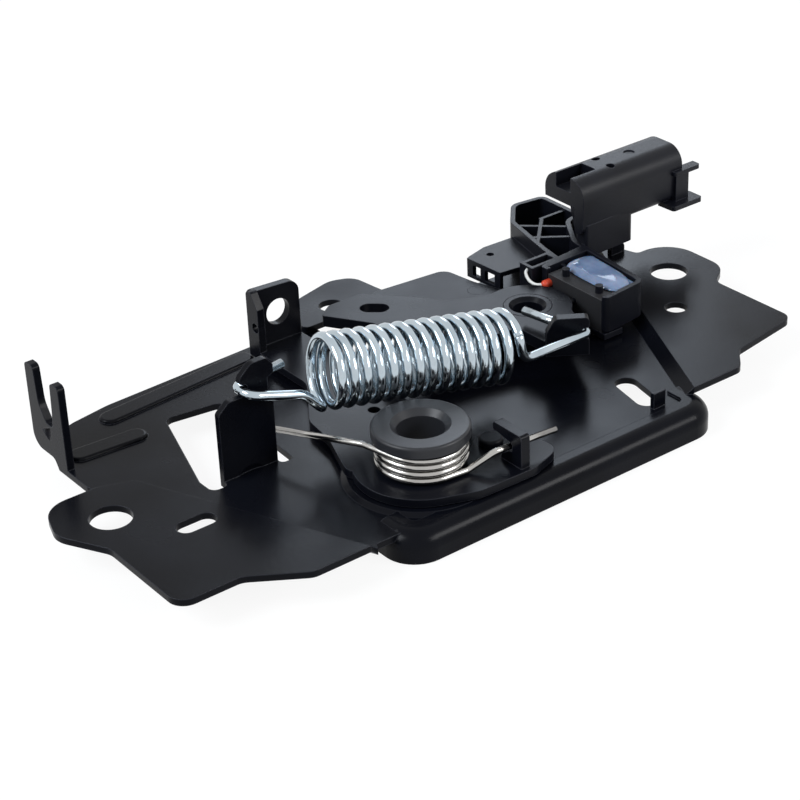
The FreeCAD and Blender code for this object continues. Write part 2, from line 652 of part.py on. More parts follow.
def claw_spacer():
    ring = disc(CLAW_X, CLAW_Y, CLAW_RIVET_R + 3.0, FLOOR_TOP, GUIDE_Z)
    return ring.cut(disc(CLAW_X, CLAW_Y, CLAW_RIVET_R, FLOOR_TOP - 1, GUIDE_Z + 1))


def claw_washer():
    ring = disc(CLAW_X, CLAW_Y, CLAW_RIVET_R + 5.0, GUIDE_TOP, GUIDE_TOP + WASHER_T)
    return ring.cut(disc(CLAW_X, CLAW_Y, CLAW_RIVET_R, GUIDE_TOP - 1, GUIDE_TOP + WASHER_T + 1))


def guide_plate():
    outline = [
        (125.3, 54.0, 3.5),
        (154.8, 51.0, 4),
        (156.5, 38.0, 20),
        (160.0, 28.0, 6),
        (166.0, 12.0, 8),
        (158.0, -3.5, 8),
        (144.0, -2.5, 8),
        (133.0, 14.0, 8),
        (128.0, 36.0, 12),
    ]
    shape = plate(outline, GUIDE_Z, GUIDE_TOP)
    shape = shape.cut(disc(CLAW_X, CLAW_Y, CLAW_RIVET_R, GUIDE_Z - 1, GUIDE_TOP + 1))
    shape = shape.cut(disc(CATCH_X, CATCH_Y, CATCH_PIN_R - 1, GUIDE_Z - 1, GUIDE_TOP + 1))
    return shape.cut(disc(GUIDE_RIVET_X, GUIDE_RIVET_Y, 3.0, GUIDE_Z - 1, GUIDE_TOP + 1))


def guide_rivet():
    """Shouldered rivet between floor and guide plate, flush above and headed below."""
    tenon = disc(GUIDE_RIVET_X, GUIDE_RIVET_Y, 3.0, FLOOR_BOTTOM, GUIDE_TOP)
    shoulder = disc(GUIDE_RIVET_X, GUIDE_RIVET_Y, 4.0, FLOOR_TOP, GUIDE_Z)
    foot = disc(GUIDE_RIVET_X, GUIDE_RIVET_Y, 5.0, FLOOR_BOTTOM - 1.5, FLOOR_BOTTOM)
    return fused([tenon, shoulder, foot])


def catch_pin():
    """Pivot pin of the safety catch, with a tenon in the guide plate and a head under the floor."""
    shank = disc(CATCH_X, CATCH_Y, CATCH_PIN_R, FLOOR_BOTTOM, GUIDE_Z)
    tenon = disc(CATCH_X, CATCH_Y, CATCH_PIN_R - 1, GUIDE_Z, GUIDE_TOP)
    foot = disc(CATCH_X, CATCH_Y, CATCH_PIN_R + 2, FLOOR_BOTTOM - 1.5, FLOOR_BOTTOM)
    return fused([shank, tenon, foot])


def safety_catch():
    """Second hook: its front edge crosses the striker slot, its back edge is the cam for the striker."""
    outline = [
        (101.0, 54.4, 2),
        (111.5, 72.0, 6),
        (127.0, 76.0, 8),
        (134.5, 73.0, 6),
        (136.0, 60.0, 10),
        (147.0, 25.0, 6),
        (143.0, 16.5, 5),
        (134.5, 17.5, 5),
        (130.5, 26.0, 8),
        (127.5, 40.0, 10),
        (125.5, 54.4, 1.5),
    ]
    shape = plate(outline, CATCH_Z, CATCH_TOP)
    shape = shape.cut(disc(117.6, 61.6, 4.0, CATCH_Z - 1, CATCH_TOP + 1))
    return shape.cut(disc(CATCH_X, CATCH_Y, CATCH_PIN_R + PIVOT_CLEARANCE, CATCH_Z - 1, CATCH_TOP + 1))


def coil(start, axis, toward, radius, pitch, turns, wire_r, left_handed):
    """Round wire wound on a cylinder; the first end lies from the axis towards a given side."""
    helix = Part.makeHelix(pitch, pitch * turns, radius, 0, left_handed)
    rise = pitch / (2 * math.pi)
    turning = -radius if left_handed else radius
    section = Part.Wire(Part.makeCircle(wire_r, V(radius, 0, 0), V(0, turning, rise)))
    solid = Part.Wire(helix.Edges).makePipeShell([section], True, True)
    solid.Placement = coil_placement(start, axis, toward)
    return solid


def coil_placement(start, axis, toward):
    """Placement whose Z runs along the axis and whose X points as nearly as possible towards a side."""
    side = (toward - axis * toward.dot(axis)).normalize()
    turn = FreeCAD.Rotation(side, axis.cross(side), axis, "ZXY")
    return FreeCAD.Placement(start, turn)


def coil_end(start, axis, toward, radius, pitch, turns, left_handed):
    """Centre and direction of the wire where a coil ends."""
    sign = -1 if left_handed else 1
    angle = sign * 2 * math.pi * turns
    point = V(radius * math.cos(angle), radius * math.sin(angle), pitch * turns)
    way = V(-sign * radius * math.sin(angle), sign * radius * math.cos(angle), pitch / (2 * math.pi))
    placement = coil_placement(start, axis, toward)
    return placement.multVec(point), placement.Rotation.multVec(way).normalize()


MAIN_START = V(68.1, -3.9, 22.7)
MAIN_END = V(122.6, -16.7, 16.2)
CLAW_NECK_Z = 13.3


def extension_spring():
    """Main spring: open coils, a hook round the neck of the spring ear and one round the claw's ear."""
    axis = (MAIN_END - MAIN_START).normalize()
    pitch = (MAIN_END - MAIN_START).Length / MAIN_TURNS
    down = V(0, 0, -1)
    body = coil(MAIN_START, axis, down, MAIN_COIL_R, pitch, MAIN_TURNS, MAIN_WIRE_R, False)
    first, first_way = coil_end(MAIN_START, axis, down, MAIN_COIL_R, pitch, 0, False)
    last, last_way = coil_end(MAIN_START, axis, down, MAIN_COIL_R, pitch, MAIN_TURNS, False)
    neck_side = EAR_X0 + EAR_NECK_IN - MAIN_WIRE_R - SPRING_GAP
    hook_back = SHEET / 2 + MAIN_WIRE_R + 0.3
    left_hook = wire_solid(
        [
            V(EAR_X1 + 1.0, hook_back, HOOK_LEVEL),
            V(neck_side, hook_back, HOOK_LEVEL),
            V(neck_side, -4.4, HOOK_LEVEL),
            V(60.5, -6.4, 19.6),
            first - first_way * 4.2,
            first,
        ],
        [2.0, 3.4, 7.0, 3.0],
        MAIN_WIRE_R,
    )
    right_hook = wire_solid(
        [
            last,
            last + last_way * 3.0,
            V(153.4, -23.2, CLAW_NECK_Z),
            V(153.4, -16.8, CLAW_NECK_Z),
            V(147.8, -9.6, CLAW_NECK_Z),
            V(145.9, 1.2, CLAW_NECK_Z),
        ],
        [2.4, 2.4, 3.0, 5.0],
        MAIN_WIRE_R,
    )
    return body.fuse([left_hook, right_hook])


def torsion_spring():
    """Return spring round the bush, with one leg on the spring ear and one in the hooked tab."""
    pitch = 2 * TORSION_WIRE_R + TORSION_GAP
    bottom = LEVER_TOP + TORSION_WIRE_R + 0.3
    up = V(0, 0, 1)
    front = V(0, -1, 0)
    centre = V(BUSH_X, BUSH_Y, bottom)
    body = coil(centre, up, front, TORSION_COIL_R, pitch, TORSION_TURNS, TORSION_WIRE_R, True)
    first, first_way = coil_end(centre, up, front, TORSION_COIL_R, pitch, 0, True)
    last, last_way = coil_end(centre, up, front, TORSION_COIL_R, pitch, TORSION_TURNS, True)
    lever_leg = wire_solid(
        [
            first,
            first - first_way * 6.0,
            V(BUSH_X + 13.4, TORSION_LEG_Y + 0.6, TORSION_LEG_Z),
            V(BUSH_X + 33.8, TORSION_LEG_Y - 1.3, TORSION_LEG_Z),
        ],
        [4.0, 5.0],
        TORSION_WIRE_R,
    )
    ear_leg = wire_solid(
        [last, last + last_way * 5.0, V(EAR_X1 + 1.4, 3.0, 8.6)],
        [3.0],
        TORSION_WIRE_R,
    )
    return body.fuse([lever_leg, ear_leg])


def tub_outline():
    """Outline of the moulded housing at its rim."""
    return [
        (168.2, -10.5, 2.0),
        (185.5, -8.8, 3.5),
        (187.4, 12.0, 20),
        (188.6, 25.7, 6),
        (196.8, 38.5, 5),
        (203.0, 39.2, 3),
        (203.0, 59.0, 3),
        (190.6, 60.6, 5),
        (181.8, 50.5, 4),
        (176.4, 28.5, 4),
        (175.0, 20.5, 2),
        (168.2, 19.5, 1.0),
    ]


def wall_between(start, end, z0, z1):
    """Thin partition standing on the line between two points."""
    along = (end[0] - start[0], end[1] - start[1])
    reach = math.hypot(along[0], along[1])
    return upright([(0, z0, 0), (reach, z0, 0), (reach, z1, 0), (0, z1, 0)], start, along, RIB_WALL)


def housing_walls():
    """Thin-walled tub with partitions and crossing ribs."""
    solid = plate(tub_outline(), HOUSING_BOTTOM, HOUSING_TOP)
    inner_face = rounded_face(tub_outline(), HOUSING_BOTTOM + HOUSING_WALL).makeOffset2D(-HOUSING_WALL)
    hollow = inner_face.extrude(V(0, 0, HOUSING_TOP))
    shell = solid.cut(hollow)
    low = HOUSING_BOTTOM + HOUSING_WALL - 0.1
    inside = plate(tub_outline(), HOUSING_BOTTOM + 0.2, HOUSING_TOP)
    bridge = plate([(170, 17.8, 0), (192, 18.6, 0), (193, 22.5, 0), (170, 20.5, 0)], low, HOUSING_TOP)
    cell_wall = box(SWITCH_X1 + 0.2, SWITCH_X1 + 1.3, -12, 20, low, HOUSING_TOP - 1.2)
    rib_lines = [
        ((179.0, 52.1), (197.0, 34.9)),
        ((181.0, 38.4), (192.0, 29.7)),
        ((203.0, 46.2), (191.2, 46.2)),
        ((192.3, 46.2), (177.0, 30.8)),
    ]
    ribs = [wall_between(line[0], line[1], low, HOUSING_TOP - 0.6) for line in rib_lines]
    box_zone = plate([(168, 20.0, 0), (196, 20.0, 0), (215, 40, 0), (215, 70, 0), (168, 70, 0)], 0, 20)
    frame = box(165.0, 176.6, 20.0, 25.8, HOUSING_BOTTOM, HOUSING_TOP)
    frame = frame.cut(box(165.0 + RIB_WALL, 175.0, 20.0 + RIB_WALL, 25.8 - RIB_WALL, low, HOUSING_TOP + 1))
    parts = [shell, bridge.common(inside), cell_wall.common(inside), frame]
    for r in ribs:
        parts.append(r.common(inside).common(box_zone))
    return fused(parts)


def section_along_x(points, x0, x1):
    """Solid with an outline (y, z, radius) drawn across, running along X."""
    face = rounded_face(points, 0)
    solid = face.extrude(V(0, 0, x1 - x0))
    solid.rotate(V(0, 0, 0), V(1, 0, 0), 90)
    solid.rotate(V(0, 0, 0), V(0, 0, 1), 90)
    solid.translate(V(x0, 0, 0))
    return solid


def connector():
    """Raised connector: shroud with a socket, neck down to the tub and guide flanges at the mouth."""
    shroud = section_along_x(
        [
            (CONNECTOR_Y0 + 1.0, CONNECTOR_Z0, 2.5),
            (CONNECTOR_Y1, CONNECTOR_Z0, 2.5),
            (CONNECTOR_Y1 + 0.5, CONNECTOR_TOP, 6.5),
            (CONNECTOR_Y0, CONNECTOR_TOP, 6.0),
        ],
        CONNECTOR_X0,
        CONNECTOR_X1,
    )
    neck = plate(
        [
            (CONNECTOR_X0 + 1.0, CONNECTOR_Y0 + 0.5, 1),
            (CONNECTOR_X0 + 22.0, CONNECTOR_Y0 + 1.0, 2),
            (CONNECTOR_X0 + 22.0, CONNECTOR_Y1 - 0.8, 2),
            (CONNECTOR_X0 + 11.0, CONNECTOR_Y1 - 0.3, 1),
            (CONNECTOR_X0 + 2.0, CONNECTOR_Y0 + 5.5, 2),
        ],
        NECK_BOTTOM,
        CONNECTOR_Z0 + 3.0,
    )
    left_lower = plate(
        [
            (CONNECTOR_X0 - 9.0, CONNECTOR_Y0 - 0.3, 0),
            (CONNECTOR_X0 + 1.4, CONNECTOR_Y0 + 5.2, 3),
            (CONNECTOR_X0 + 10.3, CONNECTOR_Y1 - 0.1, 1),
            (CONNECTOR_X0 + 10.3, CONNECTOR_Y1 + 6.2, 0),
            (CONNECTOR_X0 - 9.0, CONNECTOR_Y1 + 6.2, 0),
        ],
        CONNECTOR_Z0 - 1,
        CONNECTOR_TOP - 9.5,
    )
    flange_tip = CONNECTOR_X1 + GUIDE_FLANGE_REACH
    flange_root_y = CONNECTOR_Y0 + 3.5
    flange_z = CONNECTOR_TOP - 8.5
    flange_top = plate(
        [
            (flange_tip - 11.5, flange_root_y, 0),
            (flange_tip - 11.0, CONNECTOR_Y0 - 1.1, 1),
            (flange_tip, CONNECTOR_Y0 - 1.1, 1),
            (flange_tip, flange_root_y - 0.4, 1),
        ],
        flange_z,
        flange_z + GUIDE_FLANGE_T,
    )
    flange_low = plate(
        [
            (flange_tip - 14.0, flange_root_y, 0),
            (flange_tip - 13.6, CONNECTOR_Y0 - 3.5, 1),
            (flange_tip - 1.0, CONNECTOR_Y0 - 3.5, 1),
            (flange_tip - 1.0, flange_root_y - 0.4, 1),
        ],
        CONNECTOR_Z0 - 1.1,
        CONNECTOR_Z0 + 0.5,
    )
    web = box(flange_tip - 10.0, flange_tip - 4.5, CONNECTOR_Y0 - 0.5, flange_root_y, CONNECTOR_Z0, flange_z)
    whole = fused([shroud.cut(left_lower), neck, flange_top, flange_low, web])
    socket = section_along_x(
        [
            (CONNECTOR_Y0 + SOCKET_WALL + 1.0, CONNECTOR_Z0 + SOCKET_WALL, 1.2),
            (CONNECTOR_Y1 - SOCKET_WALL, CONNECTOR_Z0 + SOCKET_WALL, 1.2),
            (CONNECTOR_Y1 - SOCKET_WALL, CONNECTOR_TOP - SOCKET_WALL, 4.7),
            (CONNECTOR_Y0 + SOCKET_WALL + 0.4, CONNECTOR_TOP - SOCKET_WALL, 4.4),
        ],
        CONNECTOR_X1 - SOCKET_DEPTH,
        CONNECTOR_X1 + 8,
    )
    notch_y = CONNECTOR_Y0 + 6.5
    notch_z = CONNECTOR_TOP - 4.9
    notch = box(CONNECTOR_X0 - 1, CONNECTOR_X0 + 10.5, notch_y, notch_y + 6.8, notch_z, CONNECTOR_TOP + 1)
    holes = []
    for y in (notch_y + 6.2, notch_y - 0.8):
        holes.append(disc(CONNECTOR_X0 + 16.0, y, 1.4, CONNECTOR_TOP - 4.5, CONNECTOR_TOP + 1))
    holes.append(disc(CONNECTOR_X1 - 14.9, notch_y + 2.9, 1.8, CONNECTOR_TOP - 0.4, CONNECTOR_TOP + 1))
    for cut in [socket, notch] + holes:
        whole = whole.cut(cut)
    return whole


def bracket_arm():
    """Thin arm beside the guide plate, with a downward skirt that has two windows."""
    outline = [(161.6, 31.5, 1), (160.6, 46.8, 1.5), (169.5, 49.2, 2), (184.5, 48.6, 0), (178.4, 29.5, 0)]
    top = plate(outline, ARM_TOP - 1.6, ARM_TOP)
    skirt_z = GUIDE_Z - 0.5
    skirt = upright(
        [(0, skirt_z, 0), (15.2, skirt_z, 0), (15.2, ARM_TOP, 0), (0, ARM_TOP, 0)],
        (161.6, 31.5),
        (-0.065, 0.998),
        1.4,
    )
    window_a = box(155, 165, 34.0, 38.5, skirt_z + 1.2, ARM_TOP - 1.6)
    window_b = box(155, 165, 40.5, 44.0, skirt_z + 1.2, ARM_TOP - 1.6)
    arm = fused([top, skirt]).cut(window_a).cut(window_b)
    return arm.cut(disc(167.8, 43.8, 1.2, 0, 20))


def switch_housing():
    """One moulding: tub, bracket arm, connector and three stakes through the floor."""
    shape = fused([housing_walls(), bracket_arm()])
    shape = fused([shape, connector()])
    shape = shape.cut(box(160, SWITCH_X1, -8.6, 16.6, HOUSING_BOTTOM - 1, HOUSING_TOP + 1))
    stakes = []
    for x, y in STAKES:
        stakes.append(disc(x, y, STAKE_R, FLOOR_BOTTOM, HOUSING_BOTTOM + 1))
        stakes.append(disc(x, y, STAKE_R + 1.4, FLOOR_TOP, HOUSING_BOTTOM + 1))
        stakes.append(cone(x, y, STAKE_R + 1.0, STAKE_R + 1.6, FLOOR_BOTTOM - 1.2, FLOOR_BOTTOM))
    seat = box(168.2, SWITCH_X1 + 0.5, -10.0, 18.0, FLOOR_TOP + 0.8, SWITCH_Z)
    pins = [disc(x, y, SWITCH_PIN_R, SWITCH_Z - 0.5, SWITCH_TOP + 2.4) for x, y in SWITCH_PINS]
    whole = fused([shape, seat] + stakes + pins)
    return whole.cut(terminals(-1)).cut(terminals(1))


def microswitch():
    """Snap-switch body on two moulded pins, with its plunger hole on the claw's side."""
    body = box(SWITCH_X0, SWITCH_X1 - 0.15, -8.2, 16.2, SWITCH_Z, SWITCH_TOP)
    for x, y in SWITCH_PINS:
        body = body.cut(disc(x, y, SWITCH_PIN_R + 0.02, SWITCH_Z - 1, SWITCH_TOP + 1))
    guide_r = PLUNGER_R + PIVOT_CLEARANCE
    guide = Part.makeCylinder(guide_r, PLUNGER_DEEP + PLUNGER_TRAVEL + 1.3, V(SWITCH_X0 - 1, PLUNGER_Y, PLUNGER_Z), V(1, 0, 0))
    return body.cut(guide)


def switch_plunger():
    """Sprung button of the snap switch, facing the claw's rim."""
    stem = Part.makeCylinder(PLUNGER_R, SWITCH_X0 - PLUNGER_TIP_X + PLUNGER_DEEP, V(PLUNGER_TIP_X, PLUNGER_Y, PLUNGER_Z), V(1, 0, 0))
    tip = [e for e in stem.Edges if e.BoundBox.XMax < PLUNGER_TIP_X + 0.01]
    return stem.makeFillet(0.5, tip)


def sealing_gel():
    """Potting that fills the pocket beside the switch, slightly domed at its edge."""
    outline = [
        (SWITCH_X1 + 1.3, -8.9, 2.5),
        (184.0, -7.3, 2.5),
        (185.8, 12.0, 18),
        (186.2, 17.6, 2.0),
        (SWITCH_X1 + 1.3, 17.2, 2.0),
    ]
    top = HOUSING_TOP - 1.0
    fill = plate(outline, HOUSING_BOTTOM + HOUSING_WALL, top)
    rim = [e for e in fill.Edges if e.BoundBox.ZMin > top - 0.01]
    return fill.makeFillet(0.9, rim).cut(switch_housing())


def terminals(side):
    """One flat contact blade in the connector's socket."""
    y = TERMINAL_Y + side * TERMINAL_PITCH / 2
    root = CONNECTOR_X1 - SOCKET_DEPTH - 6.0
    tip = CONNECTOR_X1 - 6.0
    blade = box(root, tip, y - 1.4, y + 1.4, TERMINAL_Z - 0.4, TERMINAL_Z + 0.4)
    end = [e for e in blade.Edges if e.BoundBox.XMin > tip - 0.01 and e.BoundBox.YLength > 1]
    return blade.makeChamfer(0.3, end)


def main():
    os.makedirs("parts", exist_ok=True)
    nodes = {
        "base_plate": base_plate(),
        "pivot_bush": pivot_bush(),
        "release_lever": release_lever(),
        "lever_rivet": lever_rivet(),
        "torsion_spring": torsion_spring(),
        "claw": claw(),
        "claw_rivet": claw_rivet(),
        "claw_spacer": claw_spacer(),
        "claw_washer": claw_washer(),
        "guide_plate": guide_plate(),
        "guide_rivet": guide_rivet(),
        "safety_catch": safety_catch(),
        "catch_pin": catch_pin(),
        "extension_spring": extension_spring(),
        "switch_housing": switch_housing(),
        "microswitch": microswitch(),
        "switch_plunger": switch_plunger(),
        "sealing_gel": sealing_gel(),
        "terminal_1": terminals(-1),
        "terminal_2": terminals(1),
    }
    for name, shape in nodes.items():
        solids = shape.Solids
        print(name, len(solids), round(shape.Volume, 1), shape.isValid())
        shape.exportStep("parts/" + name + ".step")


main()
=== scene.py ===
import bpy
import math
from mathutils import Matrix, Vector


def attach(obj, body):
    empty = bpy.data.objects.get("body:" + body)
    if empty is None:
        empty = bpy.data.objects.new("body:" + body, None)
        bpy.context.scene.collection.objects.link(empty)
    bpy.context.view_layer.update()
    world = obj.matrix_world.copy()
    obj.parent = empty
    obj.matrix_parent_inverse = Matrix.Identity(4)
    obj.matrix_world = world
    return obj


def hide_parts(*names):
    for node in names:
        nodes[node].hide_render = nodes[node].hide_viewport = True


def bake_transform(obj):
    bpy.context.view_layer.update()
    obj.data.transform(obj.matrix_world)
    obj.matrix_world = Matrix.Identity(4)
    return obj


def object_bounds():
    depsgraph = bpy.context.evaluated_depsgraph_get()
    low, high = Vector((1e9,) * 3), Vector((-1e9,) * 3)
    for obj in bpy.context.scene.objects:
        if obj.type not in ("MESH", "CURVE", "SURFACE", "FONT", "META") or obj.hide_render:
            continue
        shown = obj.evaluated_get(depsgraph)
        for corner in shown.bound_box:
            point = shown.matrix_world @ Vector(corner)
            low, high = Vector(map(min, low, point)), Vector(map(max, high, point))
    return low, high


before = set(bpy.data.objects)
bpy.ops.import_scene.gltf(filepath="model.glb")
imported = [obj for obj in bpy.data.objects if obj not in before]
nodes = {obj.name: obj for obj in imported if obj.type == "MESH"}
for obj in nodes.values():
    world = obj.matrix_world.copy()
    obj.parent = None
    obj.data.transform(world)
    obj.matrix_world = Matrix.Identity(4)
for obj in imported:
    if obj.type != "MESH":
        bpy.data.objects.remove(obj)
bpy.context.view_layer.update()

MM = 0.001
WHITE = (1.0, 1.0, 1.0)
BASE_BODY = "base"

# Camera as the photograph was taken: its place in millimetres and the ways its sides face
CAMERA_PLACE = (-230.82, -446.95, 317.9)
CAMERA_RIGHT = (0.79242, -0.60881, -0.03773)
CAMERA_UP = (0.32823, 0.37345, 0.86764)
CAMERA_BACK = (-0.51414, -0.69992, 0.49576)
CAMERA_LENS = 99.0
CAMERA_SENSOR = 36.0
CAMERA_NEAR = 0.05
CAMERA_FAR = 50.0

# Floor in metres, the glow that whitens it where it is seen, and the world's soft light
FLOOR_HALF = 3.0
FLOOR_GAP = 0.0002
FLOOR_GLOW = 1.05
FLOOR_GLOW_SHARE = 0.86
PAPER_DARK = (0.86, 0.86, 0.86)
PAPER_LIGHT = (0.9, 0.9, 0.9)
SKY_TINT = (0.96, 0.98, 1.0)
SKY_STRENGTH = 0.35

# Ranges as lowest and highest: the full one, and the parts of a noise that a finish follows
FULL = (0.0, 1.0)
MOST_NOISE = (0.3, 0.7)
WIDE_NOISE = (0.3, 0.75)
UPPER_NOISE = (0.35, 0.7)
PEAK_NOISE = (0.72, 0.8)

# Painted edge highlights: cosines between true and softened normals on a flat and on an edge, and
# the tones painted there as highlight
EDGE_COSINES = (0.99, 0.75)
BEVEL_SAMPLES = 4
EDGE_HIGHLIGHT_STEEL = (0.04, 0.042, 0.052)
EDGE_HIGHLIGHT_PLASTIC_GAIN = 3

# Potting: tones, and the shape of its crowned top in millimetres
GEL_DEEP = (0.11, 0.165, 0.29)
GEL_PALE = (0.21, 0.285, 0.44)
GEL_OUTLINE = (
    (173.4, -8.6),
    (183.8, -7.4),
    (185.6, 12.0),
    (186.0, 17.2),
    (175.4, 17.4),
    (173.2, 10.0),
)
GEL_CORNER_CUTS = 4
GEL_RIM_Z = 12.95
GEL_SUNK = 0.05
GEL_CROWN = 1.7
GEL_RINGS = 14
GEL_RING_CROWDING = 1.6
GEL_TOP_FLATNESS = 3.2
GEL_SIDE_STEEPNESS = 0.6

# Steps of round forms
STEPS_PER_TURN = 40
STEPS_PER_BEND = 8
STEPS_PER_SPAN = 6
WIRE_SIDES = 14

# Main spring in millimetres: coil, the hook on the spring ear, the hook on the claw,
# and the places where it passes from one body to the other
MAIN_START = (68.1, -3.9, 23.2)
MAIN_AIM = (122.6, -16.7, 17.0)
MAIN_COIL_R = 9.75
MAIN_WIRE_R = 1.4
MAIN_TURNS = 14.64
MAIN_CLOSED_PITCH = 3.0
MAIN_OPEN_PITCH = 3.97
MAIN_LEFT_HOOK = ((60.5, 4.4, 25.2), (43.9, 2.7, 24.6), (43.9, -4.4, 24.6), (60.5, -6.4, 19.8))
MAIN_LEFT_BENDS = (2.0, 3.4, 7.0, 3.0)
MAIN_LEFT_STRAIGHT = 4.2
MAIN_RIGHT_HOOK = (
    (123.3, -25.0, 15.4),
    (150.2, -21.9, 13.3),
    (153.2, -16.6, 13.3),
    (147.8, -9.6, 13.3),
    (145.9, 1.2, 13.3),
)
MAIN_RIGHT_BENDS = (3.0, 4.4, 2.2, 2.4, 5.0)
MAIN_RIGHT_STRAIGHT = 1.0
MAIN_BLEND = ((76.0, -5.8, 21.7), (143.0, -21.0, 13.3))

# Return spring in millimetres: coil round the bush, the leg in the lever's hooked tab,
# the leg on the spring ear, and the places where it passes from one body to the other
RETURN_START = (79.6, -33.3, 3.95)
RETURN_COIL_R = 12.4
RETURN_WIRE_R = 0.95
RETURN_TURNS = 3.223
RETURN_PITCH = 2.1
RETURN_RIGHT_LEG = ((113.4, -50.4, 7.7), (93.0, -48.5, 7.7))
RETURN_RIGHT_BENDS = (5.0, 4.0)
RETURN_RIGHT_STRAIGHT = 6.0
RETURN_LEFT_LEG = ((65.7, -25.4, 10.4), (54.9, 3.0, 7.0))
RETURN_LEFT_BENDS = (8.0,)
RETURN_BLEND = ((57.0, -1.0, 8.6), (63.5, -19.0, 8.6))

# Lead at the switch in millimetres: the white link and the orange seal that it ends in
LEAD_ROUTE = (
    (165.3, 22.4, 12.9),
    (164.2, 22.0, 12.3),
    (163.9, 21.0, 11.0),
    (164.0, 19.4, 10.0),
    (164.6, 17.4, 9.6),
    (166.0, 15.9, 9.8),
)
LEAD_RADII = (0.5,) * len(LEAD_ROUTE)
LEAD_SIDES = 12
SEAL_ROUTE = (
    (165.4, 15.6, 9.8),
    (165.7, 15.6, 9.8),
    (166.4, 15.6, 9.8),
    (168.0, 15.6, 9.8),
    (168.5, 15.6, 9.8),
)
SEAL_RADII = (0.5, 1.0, 1.3, 1.3, 1.3)
SEAL_SIDES = 20


# Objects and camera
def add_object(name, data):
    obj = bpy.data.objects.new(name, data)
    bpy.context.scene.collection.objects.link(obj)
    return obj


def make_camera():
    data = bpy.data.cameras.new("camera")
    data.sensor_width = CAMERA_SENSOR
    data.lens = CAMERA_LENS
    data.clip_start = CAMERA_NEAR
    data.clip_end = CAMERA_FAR
    cam = add_object("camera", data)
    turn = Matrix((CAMERA_RIGHT, CAMERA_UP, CAMERA_BACK)).transposed().to_4x4()
    cam.matrix_world = Matrix.Translation(Vector(CAMERA_PLACE) * MM) @ turn
    bpy.context.scene.camera = cam


# Parts of node materials
def new_material(name):
    mat = bpy.data.materials.new(name)
    mat.use_nodes = True
    nt = mat.node_tree
    return mat, nt, nt.nodes["Principled BSDF"]


def object_coords(nt):
    return nt.nodes.new("ShaderNodeTexCoord").outputs["Object"]


def noise(nt, coords, scale, detail, rough=0.5):
    node = nt.nodes.new("ShaderNodeTexNoise")
    node.inputs["Scale"].default_value = scale
    node.inputs["Detail"].default_value = detail
    node.inputs["Roughness"].default_value = rough
    nt.links.new(coords, node.inputs["Vector"])
    return node.outputs["Fac"]


def spread(nt, value, source, target=FULL):
    """A value's source range stretched over the target range."""
    node = nt.nodes.new("ShaderNodeMapRange")
    node.inputs["From Min"].default_value, node.inputs["From Max"].default_value = source
    node.inputs["To Min"].default_value, node.inputs["To Max"].default_value = target
    nt.links.new(value, node.inputs["Value"])
    return node.outputs["Result"]


def combine(nt, operation, first, second):
    """Math node on two outputs."""
    node = nt.nodes.new("ShaderNodeMath")
    node.operation = operation
    nt.links.new(first, node.inputs[0])
    nt.links.new(second, node.inputs[1])
    return node.outputs["Value"]


def blend_colours(nt, factor, first, second):
    """From first, a colour or the output of a node, to the colour second."""
    node = nt.nodes.new("ShaderNodeMix")
    node.data_type = "RGBA"
    if isinstance(first, tuple):
        node.inputs["A"].default_value = (*first, 1)
    else:
        nt.links.new(first, node.inputs["A"])
    node.inputs["B"].default_value = (*second, 1)
    nt.links.new(factor, node.inputs["Factor"])
    return node.outputs["Result"]


def mix_shaders(nt, factor, first, second):
    node = nt.nodes.new("ShaderNodeMixShader")
    nt.links.new(factor, node.inputs["Fac"])
    nt.links.new(first, node.inputs[1])
    nt.links.new(second, node.inputs[2])
    return node.outputs["Shader"]


def softened_normal(nt, radius):
    bevel = nt.nodes.new("ShaderNodeBevel")
    bevel.samples = BEVEL_SAMPLES
    bevel.inputs["Radius"].default_value = radius
    return bevel.outputs["Normal"]


def painted_edge_highlight(nt, radius):
    """Mask of the painted edge highlight: 1 on edges and 0 on flats, from the angle between true
    and softened normals.
    """
    geometry = nt.nodes.new("ShaderNodeNewGeometry")
    dot = nt.nodes.new("ShaderNodeVectorMath")
    dot.operation = "DOT_PRODUCT"
    nt.links.new(softened_normal(nt, radius), dot.inputs[0])
    nt.links.new(geometry.outputs["Normal"], dot.inputs[1])
    return spread(nt, dot.outputs["Value"], EDGE_COSINES)


def add_bump(nt, bsdf, height, strength, distance, edge_radius=None):
    """Bump from a height, over softened edges where their radius is given."""
    bump = nt.nodes.new("ShaderNodeBump")
    bump.inputs["Strength"].default_value = strength
    bump.inputs["Distance"].default_value = distance
    nt.links.new(height, bump.inputs["Height"])
    if edge_radius is not None:
        nt.links.new(softened_normal(nt, edge_radius), bump.inputs["Normal"])
    nt.links.new(bump.outputs["Normal"], bsdf.inputs["Normal"])


# Materials of the object
def coated_steel(name, dark, light, rough, edge_radius, gloss):
    """Black electro-coat: slight orange peel, faint haze, and a painted highlight that makes its
    edges paler.
    """
    mat, nt, bsdf = new_material(name)
    coords = object_coords(nt)
    haze = noise(nt, coords, scale=38.0, detail=3.0)
    peel = noise(nt, coords, scale=900.0, detail=2.0)
    speck = noise(nt, coords, scale=2600.0, detail=1.0)
    tone = blend_colours(nt, spread(nt, haze, UPPER_NOISE), dark, light)
    # Painted highlight: edges blended towards a paler tone.
    highlighted = blend_colours(nt, painted_edge_highlight(nt, radius=0.0005), tone, EDGE_HIGHLIGHT_STEEL)
    nt.links.new(highlighted, bsdf.inputs["Base Color"])
    nt.links.new(spread(nt, haze, WIDE_NOISE, rough), bsdf.inputs["Roughness"])
    height = combine(nt, "ADD", peel, spread(nt, speck, PEAK_NOISE, target=(0.0, 0.5)))
    add_bump(nt, bsdf, height, strength=0.25, distance=0.00006, edge_radius=edge_radius)
    bsdf.inputs["Specular IOR Level"].default_value = gloss
    return mat


